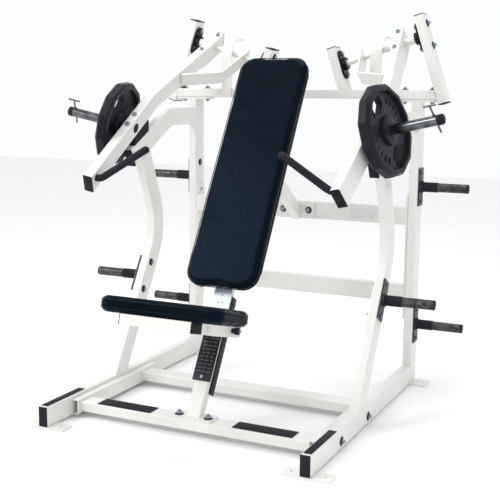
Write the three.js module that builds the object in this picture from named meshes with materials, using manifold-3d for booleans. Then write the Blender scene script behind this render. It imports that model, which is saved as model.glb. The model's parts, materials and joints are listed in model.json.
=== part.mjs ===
// A plate-loaded chest press machine: a welded tube frame, a long leaning back pad, a height-adjustable
// seat, and two independent press arms that hang from tilted pivots and carry loading horns.
// Millimetres, +X to the machine's side, +Y to its back, +Z up. Inside the file Y counts from the front
// of the base rails; the exported group is moved so that the origin is on the floor, under the middle.
import * as THREE from "three";
import { mergeVertices } from "three/addons/utils/BufferGeometryUtils.js";
import Module from "manifold-3d";

// Stock sizes
const GAP = 0.3; // air left between pieces that touch
const WALL = 3;
const THIN = 50.8; // narrow side of the frame tube
const DEEP = 101.6; // wide side of the frame tube
const CORNER = 6; // outside corner radius of a tube
const FOOT_PLATE = 9.5;
const RUNNING_GAP = 0.1; // radial air round a turning or sliding shaft

// Overall frame
const MIDDLE_Y = 793.8; // from the rail fronts to the middle of the machine's depth
const RAIL_X = 696;
const RAIL_BACK = 1522.7;
const REAR_UPRIGHT_TOP = 1601;
const SIDE_MEMBER_WIDTH = 38.1;
const CROSSBAR_HALF = RAIL_X - THIN / 2 - GAP - SIDE_MEMBER_WIDTH - GAP;
const REAR_BAR_HALF = 660.5;
const RAIL_MIDDLE_Z = FOOT_PLATE + DEEP / 2;
const RAIL_TOP = FOOT_PLATE + DEEP;
const FRONT_CROSSBAR_Y = 274.8;
const REAR_CROSSBAR_Y = 862.8;
const CROSSBAR_Z = 55.4;
const CROSSBAR_TOP = CROSSBAR_Z + THIN / 2;
const LEAN = THREE.MathUtils.degToRad(30.5); // back lean of the post, the pad and the front uprights

// Seat
const SEAT_TILT = THREE.MathUtils.degToRad(15);
const SEAT_PLANE = new THREE.Vector3(0, -42, 647); // a point on the pad's underside
const SEAT_HALF_WIDTH = 321;
const SEAT_FRONT = -47.6;
const SEAT_DEPTH = 346;
const SEAT_THICK = 75;
const SLEEVE_FRONT = 425;
const SLEEVE_BACK = 725;

// Post and back pad, in the post's own leaning space
const POST_FOOT = new THREE.Vector3(0, 249.9, CROSSBAR_TOP + GAP);
const POST_WIDTH = 76.2;
const POST_LENGTH = 1763;
const PAD_BOTTOM = 661;
const PAD_TOP = 1989;
const PAD_HALF_WIDTH = 200;
const PAD_THICK = 70;
const BOARD_THICK = 16.7;

// Arms
const PIVOT = new THREE.Vector3(583, 1574, 1910);
const TOWER_TILT = THREE.MathUtils.degToRad(18);
const ARM_DROOP = THREE.MathUtils.degToRad(31.47);
const SHAFT_RADIUS = 16;
const OUTER_TOWER_U = 146.9;
const INNER_TOWER_U = -379.6;
const BEARING_BASE = 12;
const BEARING_HUB = 32;
const ARM_BACK = 81;
const ARM_BEND = -624;
const ARM_FRONT = 773; // from the bend to the front end
const ARM_KINK = THREE.MathUtils.degToRad(10.2);
const HORN_FROM_BEND = 273;
const HORN_RADIUS = 25;
const HORN_END = 365;
const PIN_AT = 340;
const PIN_RADIUS = 4.5;
const PLATE_RADIUS = 230;
const PLATE_NEAR = 50; // distances along the horn, from the arm's middle
const PLATE_FAR = 110;
const PLATE_HUB_FAR = 116;
const PEG_PLACES = [
  { name: "front", y: 944, z: 610, lean: LEAN },
  { name: "low", y: 1573.8, z: 348, lean: 0 },
  { name: "high", y: 1573.8, z: 1132, lean: 0 },
];

const FRAME_PAINT = { color: 0xefece2, roughness: 0.35, metalness: 0.1 };
const BLACK_VINYL = { color: 0x11141a, roughness: 0.5, metalness: 0 };
const BLACK_RUBBER = { color: 0x1a1c20, roughness: 0.8, metalness: 0 };
const BLACK_PAINT = { color: 0x15171b, roughness: 0.4, metalness: 0.3 };
const CHROME = { color: 0xc9ccd0, roughness: 0.15, metalness: 1 };
const WORN_STEEL = { color: 0x8b8d90, roughness: 0.35, metalness: 0.9 };
const BLACK_IRON = { color: 0x1c1e24, roughness: 0.5, metalness: 0.4 };

const wasm = await Module();
wasm.setup();

const vec = (x, y, z) => new THREE.Vector3(x, y, z);

// ---- joining and cutting ----

function solidFrom(geometry) {
  const bare = geometry.clone();
  bare.deleteAttribute("normal");
  bare.deleteAttribute("uv");
  const merged = mergeVertices(bare, 1e-3);
  const vertProperties = merged.attributes.position.array;
  const triVerts = new Uint32Array(merged.index.array);
  return new wasm.Manifold(new wasm.Mesh({ numProp: 3, vertProperties, triVerts }));
}

function geometryFrom(solid) {
  const mesh = solid.getMesh();
  const geometry = new THREE.BufferGeometry();
  geometry.setAttribute("position", new THREE.BufferAttribute(new Float32Array(mesh.vertProperties), 3));
  geometry.setIndex(new THREE.BufferAttribute(new Uint32Array(mesh.triVerts), 1));
  return geometry;
}

function joined(...geometries) {
  const solids = geometries.map(solidFrom);
  return geometryFrom(solids.reduce((whole, next) => whole.add(next)));
}

function cut(geometry, ...tools) {
  const solids = tools.map(solidFrom);
  return geometryFrom(solids.reduce((whole, tool) => whole.subtract(tool), solidFrom(geometry)));
}

// ---- shapes ----

function box(low, high) {
  const [x, y, z] = high.map((value, axis) => value - low[axis]);
  const geometry = new THREE.BoxGeometry(x, y, z);
  return geometry.translate(low[0] + x / 2, low[1] + y / 2, low[2] + z / 2);
}

// A round bar or hole tool between two points.
function rod(from, to, radius, sides = 24) {
  const length = from.distanceTo(to);
  const geometry = new THREE.CylinderGeometry(radius, radius, length, sides);
  const turn = new THREE.Quaternion().setFromUnitVectors(vec(0, 1, 0), to.clone().sub(from).normalize());
  geometry.applyQuaternion(turn);
  return geometry.translate(...from.clone().add(to).multiplyScalar(0.5).toArray());
}

function roundedRectangle(Outline, halfX, halfY, radius) {
  const outline = new Outline();
  outline.absarc(halfX - radius, halfY - radius, radius, 0, Math.PI / 2);
  outline.absarc(radius - halfX, halfY - radius, radius, Math.PI / 2, Math.PI);
  outline.absarc(radius - halfX, radius - halfY, radius, Math.PI, 1.5 * Math.PI);
  outline.absarc(halfX - radius, radius - halfY, radius, 1.5 * Math.PI, 2 * Math.PI);
  outline.closePath();
  return outline;
}

function rectangle(Outline, halfX, halfY) {
  const outline = new Outline();
  outline.moveTo(-halfX, -halfY);
  outline.lineTo(halfX, -halfY);
  outline.lineTo(halfX, halfY);
  outline.lineTo(-halfX, halfY);
  outline.closePath();
  return outline;
}

function tubeSection(sizeX, sizeY) {
  const section = roundedRectangle(THREE.Shape, sizeX / 2, sizeY / 2, CORNER);
  section.holes.push(rectangle(THREE.Path, sizeX / 2 - WALL, sizeY / 2 - WALL));
  return section;
}

function extruded(shape, depth, curveSegments = 2) {
  return new THREE.ExtrudeGeometry(shape, { depth, bevelEnabled: false, curveSegments });
}

// A matrix that sends +Z along a direction and +X along the direction across it.
function facing(origin, along, across) {
  const z = along.clone().normalize();
  const y = z.clone().cross(across).normalize();
  const x = y.clone().cross(z);
  return new THREE.Matrix4().makeBasis(x, y, z).setPosition(origin);
}

// A straight open tube: width is measured across, depth at right angles to it.
function straightTube(from, to, across, width, depth) {
  const geometry = extruded(tubeSection(width, depth), from.distanceTo(to));
  return geometry.applyMatrix4(facing(from, to.clone().sub(from), across));
}

function pathWithBends(corners, radius, facets) {
  const points = [corners[0]];
  for (let i = 1; i < corners.length - 1; i += 1) {
    const corner = corners[i];
    const back = corners[i - 1].clone().sub(corner).normalize();
    const on = corners[i + 1].clone().sub(corner).normalize();
    const half = back.angleTo(on) / 2;
    const centre = back.clone().add(on).normalize().multiplyScalar(radius / Math.sin(half)).add(corner);
    const spoke = back.clone().multiplyScalar(radius / Math.tan(half)).add(corner).sub(centre);
    const axis = on.clone().cross(back).normalize();
    for (let k = 0; k <= facets; k += 1) {
      const angle = ((2 * half - Math.PI) * k) / facets;
      points.push(spoke.clone().applyAxisAngle(axis, -angle).add(centre));
    }
  }
  points.push(corners[corners.length - 1]);
  return points;
}

// A path through points that all lie in one plane, stepped only at those points.
class FlatPath extends THREE.Curve {
  constructor(points, planeNormal) {
    super();
    this.points = points;
    this.planeNormal = planeNormal.clone().normalize();
  }

  getPoint(t) {
    return this.points[Math.round(t * (this.points.length - 1))].clone();
  }

  getPointAt(u) {
    return this.getPoint(u);
  }

  computeFrenetFrames(steps) {
    const tangents = [];
    const binormals = [];
    for (let i = 0; i <= steps; i += 1) {
      const here = this.points[i];
      const on = this.points[Math.min(i + 1, steps)].clone().sub(here).normalize();
      const back = here.clone().sub(this.points[Math.max(i - 1, 0)]).normalize();
      const tangent = on.clone().add(back).normalize();
      const mitre = i === 0 || i === steps ? 1 : tangent.dot(on);
      tangents.push(tangent);
      binormals.push(tangent.clone().cross(this.planeNormal).divideScalar(mitre));
    }
    return { tangents, normals: tangents.map(() => this.planeNormal), binormals };
  }
}

// Sweeps a section along a bent path: the section's X lies along the plane's normal.
function swept(section, points, planeNormal, curveSegments = 2) {
  const extrudePath = new FlatPath(points, planeNormal);
  const steps = points.length - 1;
  return new THREE.ExtrudeGeometry(section, { steps, extrudePath, curveSegments });
}

const machine = new THREE.Group();
machine.position.y = -MIDDLE_Y;

function addTo(parent, name, geometry, finish) {
  const mesh = new THREE.Mesh(geometry, new THREE.MeshStandardMaterial(finish));
  mesh.name = name;
  parent.add(mesh);
  return mesh;
}

function space(parent, matrix) {
  const group = new THREE.Group();
  matrix.decompose(group.position, group.quaternion, group.scale);
  parent.add(group);
  return group;
}

// ---- base and uprights, drawn on the +X side; the other side is the same, mirrored ----

const SIDE_AXIS = vec(1, 0, 0);

// A floor plate under a rail end, with a bolt hole near each end.
function footPlate(yFront, yBack, top, holeSpread) {
  const halfLength = 115;
  const holeY = (yFront + yBack) / 2;
  const plate = box([RAIL_X - halfLength, yFront, 0], [RAIL_X + halfLength, yBack, top]);
  const holes = [-holeSpread, holeSpread].map((offset) =>
    rod(vec(RAIL_X + offset, holeY, -5), vec(RAIL_X + offset, holeY, 15), 7, 12),
  );
  return cut(plate, ...holes);
}

function baseRail() {
  const front = vec(RAIL_X, 0, RAIL_MIDDLE_Z);
  const back = vec(RAIL_X, RAIL_BACK, RAIL_MIDDLE_Z);
  const rail = straightTube(front, back, SIDE_AXIS, THIN, DEEP);
  return joined(rail, footPlate(-5, 80, FOOT_PLATE + 0.5, 80));
}

function baseSideMember() {
  const x = RAIL_X - THIN / 2 - GAP - SIDE_MEMBER_WIDTH / 2;
  return straightTube(vec(x, 200, 56.1), vec(x, 965, 56.1), SIDE_AXIS, SIDE_MEMBER_WIDTH, 76.2);
}

const SHOULDER_BEND = vec(RAIL_X, 1225, 1499);
const SHOULDER_END = vec(RAIL_X, 816, 1284);

function shoulderPath(back) {
  const corners = [vec(RAIL_X, back, SHOULDER_BEND.z), SHOULDER_BEND, SHOULDER_END];
  return pathWithBends(corners, 150, 4);
}

function shoulderTube() {
  return swept(tubeSection(THIN, DEEP), shoulderPath(RAIL_BACK), SIDE_AXIS);
}

// The front upright leans back from the rail, bends, and leans forward up to the shoulder tube.
function frontUpright() {
  const bend = vec(RAIL_X, 1116, 871);
  const below = vec(0, -Math.sin(LEAN), -Math.cos(LEAN)).multiplyScalar(960).add(bend);
  const forward = THREE.MathUtils.degToRad(21.6);
  const above = vec(0, -Math.sin(forward), Math.cos(forward)).multiplyScalar(457).add(bend);
  const upright = swept(tubeSection(THIN, DEEP), pathWithBends([below, bend, above], 340, 6), SIDE_AXIS);
  const belowRailTop = box([600, 0, -100], [800, 1300, RAIL_TOP + GAP]);
  const grown = roundedRectangle(THREE.Shape, THIN / 2 + 5, DEEP / 2 + GAP, CORNER);
  const shoulder = swept(grown, shoulderPath(RAIL_BACK), SIDE_AXIS);
  return cut(upright, belowRailTop, shoulder);
}

// A rubber block on the shoulder tube's slope that the resting arm lies on.
function armBumper() {
  const outline = new THREE.Shape();
  outline.moveTo(830, 1350.1);
  outline.lineTo(975, 1426.2);
  outline.lineTo(975, 1488);
  outline.lineTo(830, 1394);
  const geometry = extruded(outline, 48);
  const matrix = new THREE.Matrix4().makeBasis(vec(0, 1, 0), vec(0, 0, 1), vec(1, 0, 0));
  return geometry.applyMatrix4(matrix.setPosition(RAIL_X - 24, 0, 0));
}

function rearUpright() {
  const y = RAIL_BACK + GAP + DEEP / 2;
  const foot = FOOT_PLATE - GAP;
  const tube = straightTube(vec(RAIL_X, y, foot - 0.5), vec(RAIL_X, y, REAR_UPRIGHT_TOP), SIDE_AXIS, THIN, DEEP);
  const top = box([RAIL_X - 100, y - DEEP / 2, REAR_UPRIGHT_TOP - 0.5], [RAIL_X + 100, y + DEEP / 2, 1611]);
  const drain = rod(vec(RAIL_X, y, REAR_UPRIGHT_TOP - 20), vec(RAIL_X, y, 1630), 12, 12);
  return cut(joined(tube, footPlate(1512, 1622, foot, 92), top), drain);
}

function rearSidePlate() {
  const outer = RAIL_X - THIN / 2 - GAP;
  return box([outer - 9.5, RAIL_BACK + 0.8, 383], [outer, 1612, 1088]);
}

function towerSpace(parent) {
  const group = new THREE.Group();
  group.position.copy(PIVOT);
  group.rotation.y = -TOWER_TILT;
  parent.add(group);
  return group;
}

function outerTower() {
  return straightTube(vec(OUTER_TOWER_U, 0, -378), vec(OUTER_TOWER_U, 0, 112), SIDE_AXIS, THIN, DEEP);
}

// The inner tower stands on the top beam, so its foot is cut level.
function innerTower() {
  const tower = straightTube(vec(INNER_TOWER_U, 0, -220), vec(INNER_TOWER_U, 0, 102.4), SIDE_AXIS, THIN, DEEP);
  const beamTop = box([-300, -80, -300], [300, 80, 0]);
  const toTower = new THREE.Matrix4().makeRotationY(TOWER_TILT);
  const foot = vec(263.9, PIVOT.y, 1662.4).sub(PIVOT).applyMatrix4(toTower);
  return cut(tower, beamTop.applyMatrix4(toTower.setPosition(foot)));
}

// A flange bearing: an oblong base with a round hub. It faces along the given direction of the shaft.
function bearing(face, direction) {
  const base = new THREE.Shape();
  base.absarc(0, 42.5, 40, 0, Math.PI);
  base.absarc(0, -42.5, 40, Math.PI, 2 * Math.PI);
  base.closePath();
  const flange = extruded(base, BEARING_BASE, 6);
  const hub = rod(vec(0, 0, 1), vec(0, 0, BEARING_HUB), 35);
  const bore = rod(vec(0, 0, -5), vec(0, 0, 50), (SHAFT_RADIUS + RUNNING_GAP) / Math.cos(Math.PI / 24));
  const geometry = cut(joined(flange, hub), bore);
  return geometry.applyMatrix4(facing(vec(face, 0, 0), vec(direction, 0, 0), vec(0, direction, 0)));
}

// A hooked strap that rises from the top beam's front face and curls back over the arm shaft.
function shaftGuard() {
  const x = 461;
  const y = RAIL_BACK - GAP - 3.7;
  const corners = [vec(x, y, 1611), vec(x, y, 1953), vec(x, 1684 - 0.2, 1953)];
  return swept(rectangle(THREE.Shape, 32, 4), pathWithBends(corners, 100, 6), SIDE_AXIS);
}

// A storage peg: a bolted plate with a flange and a bar for spare plates.
function storagePeg() {
  const plate = box([0, -38, -105], [8, 38, 105]);
  const flange = rod(vec(7, 0, 0), vec(18, 0, 0), 34);
  const bar = rod(vec(17, 0, 0), vec(266, 0, 0), 25);
  return joined(plate, flange, bar);
}

// ---- arm pieces, in the arm's own space: X along the shaft, Y back along the arm, Z off its top ----

const ARM_ON = vec(-Math.sin(ARM_KINK), -Math.cos(ARM_KINK), 0);
const ARM_OUT = vec(Math.cos(ARM_KINK), -Math.sin(ARM_KINK), 0);
const ARM_KNEE = vec(0, ARM_BEND, 0);

function armPoint(fromBend, outward, up = 0) {
  const point = ARM_KNEE.clone().addScaledVector(ARM_ON, fromBend);
  return point.addScaledVector(ARM_OUT, outward).add(vec(0, 0, up));
}

function pressArm() {
  const corners = [vec(0, ARM_BACK, 0), ARM_KNEE, armPoint(ARM_FRONT, 0)];
  const tube = swept(tubeSection(DEEP, THIN), pathWithBends(corners, 300, 2), vec(0, 0, 1));
  const hole = (SHAFT_RADIUS + GAP) / Math.cos(Math.PI / 24);
  return cut(tube, rod(vec(-60, 0, 0), vec(60, 0, 0), hole));
}

// The shaft, with a collar beside the arm and a bent flat bar that braces it back to the arm.
function armShaft() {
  const innerEnd = INNER_TOWER_U + THIN / 2 + 2;
  const outerEnd = OUTER_TOWER_U - THIN / 2 - GAP;
  const shaft = rod(vec(innerEnd, 0, 0), vec(outerEnd, 0, 0), SHAFT_RADIUS);
  const collar = rod(vec(THIN / 2 + GAP, 0, 0), vec(outerEnd - BEARING_HUB - 1, 0, 0), 22);
  const corners = [vec(-29.5, -382.6, 0), vec(-212, -238, 0), vec(-228, 38, 0)];
  const brace = swept(rectangle(THREE.Shape, 38, 5), pathWithBends(corners, 40, 3), vec(0, 0, 1));
  return joined(shaft, collar, brace);
}

function grip() {
  const neck = armPoint(731, -THIN / 2 - GAP, 14);
  const bend = armPoint(731, -THIN / 2 - 24, 14);
  const end = vec(-387.5, -1188, 209);
  const normal = bend.clone().sub(neck).cross(end.clone().sub(bend));
  const round = new THREE.Shape().absarc(0, 0, 18.5, 0, 2 * Math.PI);
  return swept(round, pathWithBends([neck, bend, end], 22, 3), normal, 12);
}

// Horn space: Z out along the horn from the arm's middle, X off the arm's top, Y forward along the arm.
function hornSpace(arm) {
  return space(arm, facing(armPoint(HORN_FROM_BEND, 0), ARM_OUT, vec(0, 0, 1)));
}

// A closed profile of radius and distance pairs, turned round the horn's axis.
function turned(pairs, sides) {
  const profile = [...pairs, pairs[0]].map(([radius, along]) => new THREE.Vector2(radius, along));
  return new THREE.LatheGeometry(profile, sides).rotateX(Math.PI / 2);
}

function ring(inner, outer, from, to, sides = 24) {
  return turned([[inner, from], [outer, from], [outer, to], [inner, to]], sides);
}

function loadingHorn() {
  const start = THIN / 2 + GAP;
  const bar = ring(HORN_RADIUS - 5, HORN_RADIUS, start, HORN_END);
  const stop = ring(HORN_RADIUS - 2, 34, start, PLATE_NEAR - GAP);
  const pinHole = rod(vec(-40, 0, PIN_AT), vec(40, 0, PIN_AT), PIN_RADIUS + 0.8, 16);
  return cut(joined(bar, stop), pinHole);
}

// A twelve-sided plate with a chamfered raised rim, a raised hub and two hexagonal grip openings.
function weightPlate() {
  const bore = (HORN_RADIUS + 0.5) / Math.cos(Math.PI / 24);
  const turn = Math.PI / 12;
  const rimInside = PLATE_RADIUS - 34;
  const rimProfile = [
    [rimInside, PLATE_NEAR],
    [PLATE_RADIUS - 8, PLATE_NEAR],
    [PLATE_RADIUS, PLATE_NEAR + 8],
    [PLATE_RADIUS, PLATE_FAR - 16],
    [PLATE_RADIUS - 16, PLATE_FAR],
    [rimInside, PLATE_FAR],
  ];
  const rim = turned(rimProfile, 12).rotateZ(turn);
  const web = ring(bore, rimInside + 4, PLATE_NEAR + 16, PLATE_FAR - 18, 12).rotateZ(turn);
  const hub = ring(bore, 75, PLATE_NEAR, PLATE_HUB_FAR);
  const opening = new THREE.Shape();
  opening.moveTo(-40, -34);
  opening.lineTo(0, -60);
  opening.lineTo(40, -34);
  opening.lineTo(40, 34);
  opening.lineTo(0, 60);
  opening.lineTo(-40, 34);
  const openings = [-144, 144].map((x) => extruded(opening, 100).translate(x, 0, PLATE_NEAR - 20));
  const axle = rod(vec(0, 0, PLATE_NEAR - 20), vec(0, 0, PLATE_HUB_FAR + 20), bore);
  return cut(joined(rim, web, hub), axle, ...openings);
}

function retainingPin() {
  const stem = rod(vec(-68, 0, PIN_AT), vec(83, 0, PIN_AT), PIN_RADIUS, 16);
  const collar = rod(vec(HORN_RADIUS + GAP, 0, PIN_AT), vec(HORN_RADIUS + 8, 0, PIN_AT), 8, 16);
  const handle = rod(vec(83, 0, PIN_AT - 32), vec(83, 0, PIN_AT + 32), 5, 16);
  return joined(stem, collar, handle);
}

for (const [side, mirror] of [["right", 1], ["left", -1]]) {
  const half = new THREE.Group();
  half.scale.x = mirror;
  machine.add(half);

  addTo(half, `${side}_base_rail`, baseRail(), FRAME_PAINT);
  addTo(half, `${side}_rail_end_cap`, box([672, -3, 11], [720, -GAP, 110]), BLACK_RUBBER);
  addTo(half, `${side}_base_side_member`, baseSideMember(), FRAME_PAINT);
  const gripPad = box([225, 232, CROSSBAR_TOP + GAP], [535, 318, CROSSBAR_TOP + 3.2]);
  addTo(half, `${side}_foot_grip_pad`, gripPad, BLACK_RUBBER);
  addTo(half, `${side}_front_upright`, frontUpright(), FRAME_PAINT);
  addTo(half, `${side}_shoulder_tube`, shoulderTube(), FRAME_PAINT);
  addTo(half, `${side}_arm_bumper`, armBumper(), BLACK_RUBBER);
  addTo(half, `${side}_rear_upright`, rearUpright(), FRAME_PAINT);
  addTo(half, `${side}_rear_side_plate`, rearSidePlate(), FRAME_PAINT);
  addTo(half, `${side}_shaft_guard`, shaftGuard(), FRAME_PAINT);
  for (const { name, y, z, lean } of PEG_PLACES) {
    const peg = addTo(half, `${side}_${name}_storage_peg`, storagePeg(), WORN_STEEL);
    peg.position.set(RAIL_X + THIN / 2 + GAP, y, z);
    peg.rotation.x = -lean;
  }

  const tower = towerSpace(half);
  addTo(tower, `${side}_outer_tower`, outerTower(), FRAME_PAINT);
  addTo(tower, `${side}_inner_tower`, innerTower(), FRAME_PAINT);
  const outerFace = OUTER_TOWER_U - THIN / 2 - GAP;
  const innerFace = INNER_TOWER_U + THIN / 2 + GAP;
  addTo(tower, `${side}_outer_bearing`, bearing(outerFace, -1), BLACK_PAINT);
  addTo(tower, `${side}_inner_bearing`, bearing(innerFace, 1), BLACK_PAINT);

  const arm = new THREE.Group();
  arm.rotation.x = ARM_DROOP;
  tower.add(arm);
  addTo(arm, `${side}_press_arm`, pressArm(), FRAME_PAINT);
  addTo(arm, `${side}_arm_shaft`, armShaft(), FRAME_PAINT);
  addTo(arm, `${side}_grip`, grip(), BLACK_RUBBER);
  const horn = hornSpace(arm);
  addTo(horn, `${side}_loading_horn`, loadingHorn(), CHROME);
  addTo(horn, `${side}_weight_plate`, weightPlate(), BLACK_IRON);
  addTo(horn, `${side}_retaining_pin`, retainingPin(), CHROME);
}

// ---- pieces that cross the middle ----

function crossbar(half, y, z, widthY, heightZ) {
  return straightTube(vec(-half, y, z), vec(half, y, z), vec(0, 1, 0), widthY, heightZ);
}

addTo(machine, "front_base_crossbar", crossbar(CROSSBAR_HALF, FRONT_CROSSBAR_Y, CROSSBAR_Z, DEEP, THIN), FRAME_PAINT);
addTo(machine, "rear_base_crossbar", crossbar(CROSSBAR_HALF, REAR_CROSSBAR_Y, CROSSBAR_Z, DEEP, THIN), FRAME_PAINT);
const rearBarY = RAIL_BACK + GAP + THIN / 2;
addTo(machine, "upper_rear_crossbar", crossbar(REAR_BAR_HALF, rearBarY, 968.8, THIN, DEEP), FRAME_PAINT);
addTo(machine, "lower_rear_crossbar", crossbar(REAR_BAR_HALF, rearBarY, 526.8, THIN, DEEP), FRAME_PAINT);

// The top beam lies on the rear uprights; its ends are cut to the lean of the outer towers.
function topBeam() {
  const y = RAIL_BACK + GAP + DEEP / 2;
  const beam = crossbar(880, y, 1611.3 + THIN / 2, DEEP, THIN);
  const ends = [1, -1].map((side) => {
    const block = box([0, -100, -150], [200, 100, 150]);
    const tilt = new THREE.Matrix4().makeRotationY(-side * TOWER_TILT);
    const flip = side === 1 ? 0 : Math.PI;
    const end = vec(side * 799.5, y, 1636.7);
    return block.applyMatrix4(tilt.multiply(new THREE.Matrix4().makeRotationZ(flip)).setPosition(end));
  });
  return cut(beam, ...ends);
}
addTo(machine, "top_beam", topBeam(), FRAME_PAINT);

// Post space: Z up along the leaning post, Y out of its back, Y = 0 on its front face.
const post = new THREE.Group();
post.position.copy(POST_FOOT);
post.rotation.x = -LEAN;
machine.add(post);
post.updateMatrix();
const intoPost = post.matrix.clone().invert();

function benchPost() {
  const middle = THIN / 2;
  const tube = straightTube(vec(0, middle, -60), vec(0, middle, POST_LENGTH), SIDE_AXIS, POST_WIDTH, THIN);
  const plate = box([-108, 228, POST_FOOT.z], [108, 322, POST_FOOT.z + FOOT_PLATE]).applyMatrix4(intoPost);
  const under = box([-200, 0, -200], [200, 500, POST_FOOT.z]).applyMatrix4(intoPost);
  return cut(joined(tube, plate), under);
}
addTo(post, "bench_post", benchPost(), FRAME_PAINT);

// The rack's teeth face sideways, towards the pull pin.
function rackStrip() {
  const outline = new THREE.Shape();
  outline.moveTo(-15, 140);
  outline.lineTo(9, 140);
  for (let z = 150; z < 610; z += 27) {
    outline.lineTo(15, z);
    outline.lineTo(15, z + 14);
    outline.lineTo(9, z + 14);
    outline.lineTo(9, z + 27);
  }
  outline.lineTo(9, 649);
  outline.lineTo(-15, 649);
  const matrix = new THREE.Matrix4().makeBasis(vec(1, 0, 0), vec(0, 0, 1), vec(0, -1, 0));
  return extruded(outline, 35).applyMatrix4(matrix.setPosition(0, THIN + GAP + 35, 0));
}
addTo(post, "rack_strip", rackStrip(), BLACK_PAINT);

function instructionPlate() {
  const outline = new THREE.Shape();
  outline.moveTo(-50, 192);
  outline.lineTo(50, 192);
  outline.lineTo(50, 657);
  outline.absarc(0, 657, 50, 0, Math.PI);
  const matrix = new THREE.Matrix4().makeBasis(vec(1, 0, 0), vec(0, 0, 1), vec(0, -1, 0));
  return extruded(outline, 3, 10).applyMatrix4(matrix.setPosition(0, -GAP, 0));
}
addTo(post, "instruction_plate", instructionPlate(), BLACK_PAINT);

// A pad outline in post space, extruded away from the post.
function padSlab(halfWidth, bottom, top, radius, back, thick) {
  const outline = roundedRectangle(THREE.Shape, halfWidth, (top - bottom) / 2, radius);
  const matrix = new THREE.Matrix4().makeBasis(vec(1, 0, 0), vec(0, 0, 1), vec(0, -1, 0));
  return extruded(outline, thick, 6).applyMatrix4(matrix.setPosition(0, back, (top + bottom) / 2));
}
const boardBack = -GAP;
const padBack = boardBack - BOARD_THICK - GAP;
const board = padSlab(PAD_HALF_WIDTH - 15, PAD_BOTTOM + 54, PAD_TOP - 14, 70, boardBack, BOARD_THICK);
addTo(post, "back_pad_board", board, BLACK_PAINT);
const backPad = padSlab(PAD_HALF_WIDTH, PAD_BOTTOM, PAD_TOP, 80, padBack, PAD_THICK);
addTo(post, "back_pad", backPad, BLACK_VINYL);

// A brace from the upper rear crossbar to the back of the post.
function backBrace() {
  const wall = RAIL_BACK;
  const foot = vec(0, wall + 60, 961 - 70 * 0.655);
  const head = vec(0, 1035, 961 + (1513 - 1035) * 0.655);
  const tube = straightTube(foot, head, SIDE_AXIS, THIN, 76.2);
  const plate = box([-115, wall - 9.2, 918], [115, wall, 1019]);
  return cut(joined(tube, plate), box([-200, wall, 700], [200, wall + 200, 1200]));
}
addTo(machine, "back_brace", backBrace(), FRAME_PAINT);

// Seat space: Y back along the pad's underside, Z up through the pad.
const seat = new THREE.Group();
seat.position.copy(SEAT_PLANE);
seat.rotation.x = -SEAT_TILT;
machine.add(seat);

const FRAME_MIDDLE_Z = -THIN / 2 - GAP;
const SLEEVE_HEIGHT = 70;

// The seat frame: a flat cross tube under the pad, an arm, and a sleeve that runs on the post.
function seatFrame() {
  const cross = straightTube(vec(-183, 7, FRAME_MIDDLE_Z), vec(183, 7, FRAME_MIDDLE_Z), vec(0, 1, 0), DEEP, THIN);
  const arm = straightTube(vec(0, 57, FRAME_MIDDLE_Z), vec(0, SLEEVE_FRONT + 2, FRAME_MIDDLE_Z), SIDE_AXIS, THIN, THIN);
  const low = FRAME_MIDDLE_Z - SLEEVE_HEIGHT / 2;
  const sleeve = box([-62, SLEEVE_FRONT, low], [62, SLEEVE_BACK, low + SLEEVE_HEIGHT]);
  const inside = box([-53, SLEEVE_FRONT + 10, low - 5], [53, SLEEVE_BACK - 10, low + SLEEVE_HEIGHT + 5]);
  return cut(joined(cross, arm, sleeve), inside);
}
addTo(seat, "seat_frame", seatFrame(), FRAME_PAINT);

function seatPad() {
  const outline = roundedRectangle(THREE.Shape, SEAT_HALF_WIDTH, SEAT_DEPTH / 2, 60);
  return extruded(outline, SEAT_THICK, 6).translate(0, SEAT_FRONT + SEAT_DEPTH / 2, 0);
}
addTo(seat, "seat_pad", seatPad(), BLACK_VINYL);

// The pull pin's knob stands on the sleeve's +X side.
function pullPin() {
  const y = SLEEVE_BACK - 95;
  const collar = rod(vec(62 + GAP, y, FRAME_MIDDLE_Z), vec(80, y, FRAME_MIDDLE_Z), 13);
  const knob = rod(vec(79, y, FRAME_MIDDLE_Z), vec(101, y, FRAME_MIDDLE_Z), 19);
  return joined(collar, knob);
}
addTo(seat, "pull_pin", pullPin(), BLACK_PAINT);

export default machine;
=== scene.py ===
# %% [markdown]
# # A plate-loaded chest press machine
# The real machine is a frame of painted rectangular tube, two arms that swing on tilted shafts, and a
# long leaning back pad with a wide seat. The tubes, pivots and bars come in as a finished frame, so this
# lesson adds what a frame can't hold: upholstery, bolts, caps, moulded iron and every finish.

# %% Load the frame
import json
import math

import bmesh
import bpy
from mathutils import Matrix, Vector


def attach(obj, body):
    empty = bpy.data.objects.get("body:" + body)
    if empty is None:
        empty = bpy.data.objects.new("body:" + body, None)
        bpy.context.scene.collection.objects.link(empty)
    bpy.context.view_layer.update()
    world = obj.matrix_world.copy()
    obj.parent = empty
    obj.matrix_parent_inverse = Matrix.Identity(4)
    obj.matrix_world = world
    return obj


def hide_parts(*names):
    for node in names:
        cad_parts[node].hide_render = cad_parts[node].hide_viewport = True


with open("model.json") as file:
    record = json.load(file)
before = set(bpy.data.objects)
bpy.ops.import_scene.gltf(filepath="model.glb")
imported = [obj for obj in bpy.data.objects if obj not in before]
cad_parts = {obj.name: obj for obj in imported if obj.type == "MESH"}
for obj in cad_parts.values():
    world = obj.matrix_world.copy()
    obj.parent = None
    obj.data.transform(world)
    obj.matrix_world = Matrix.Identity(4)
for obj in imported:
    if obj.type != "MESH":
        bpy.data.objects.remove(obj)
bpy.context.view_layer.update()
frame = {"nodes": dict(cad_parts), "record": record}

nodes = frame["nodes"]
SIDES = (("right", 1), ("left", -1))

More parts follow.
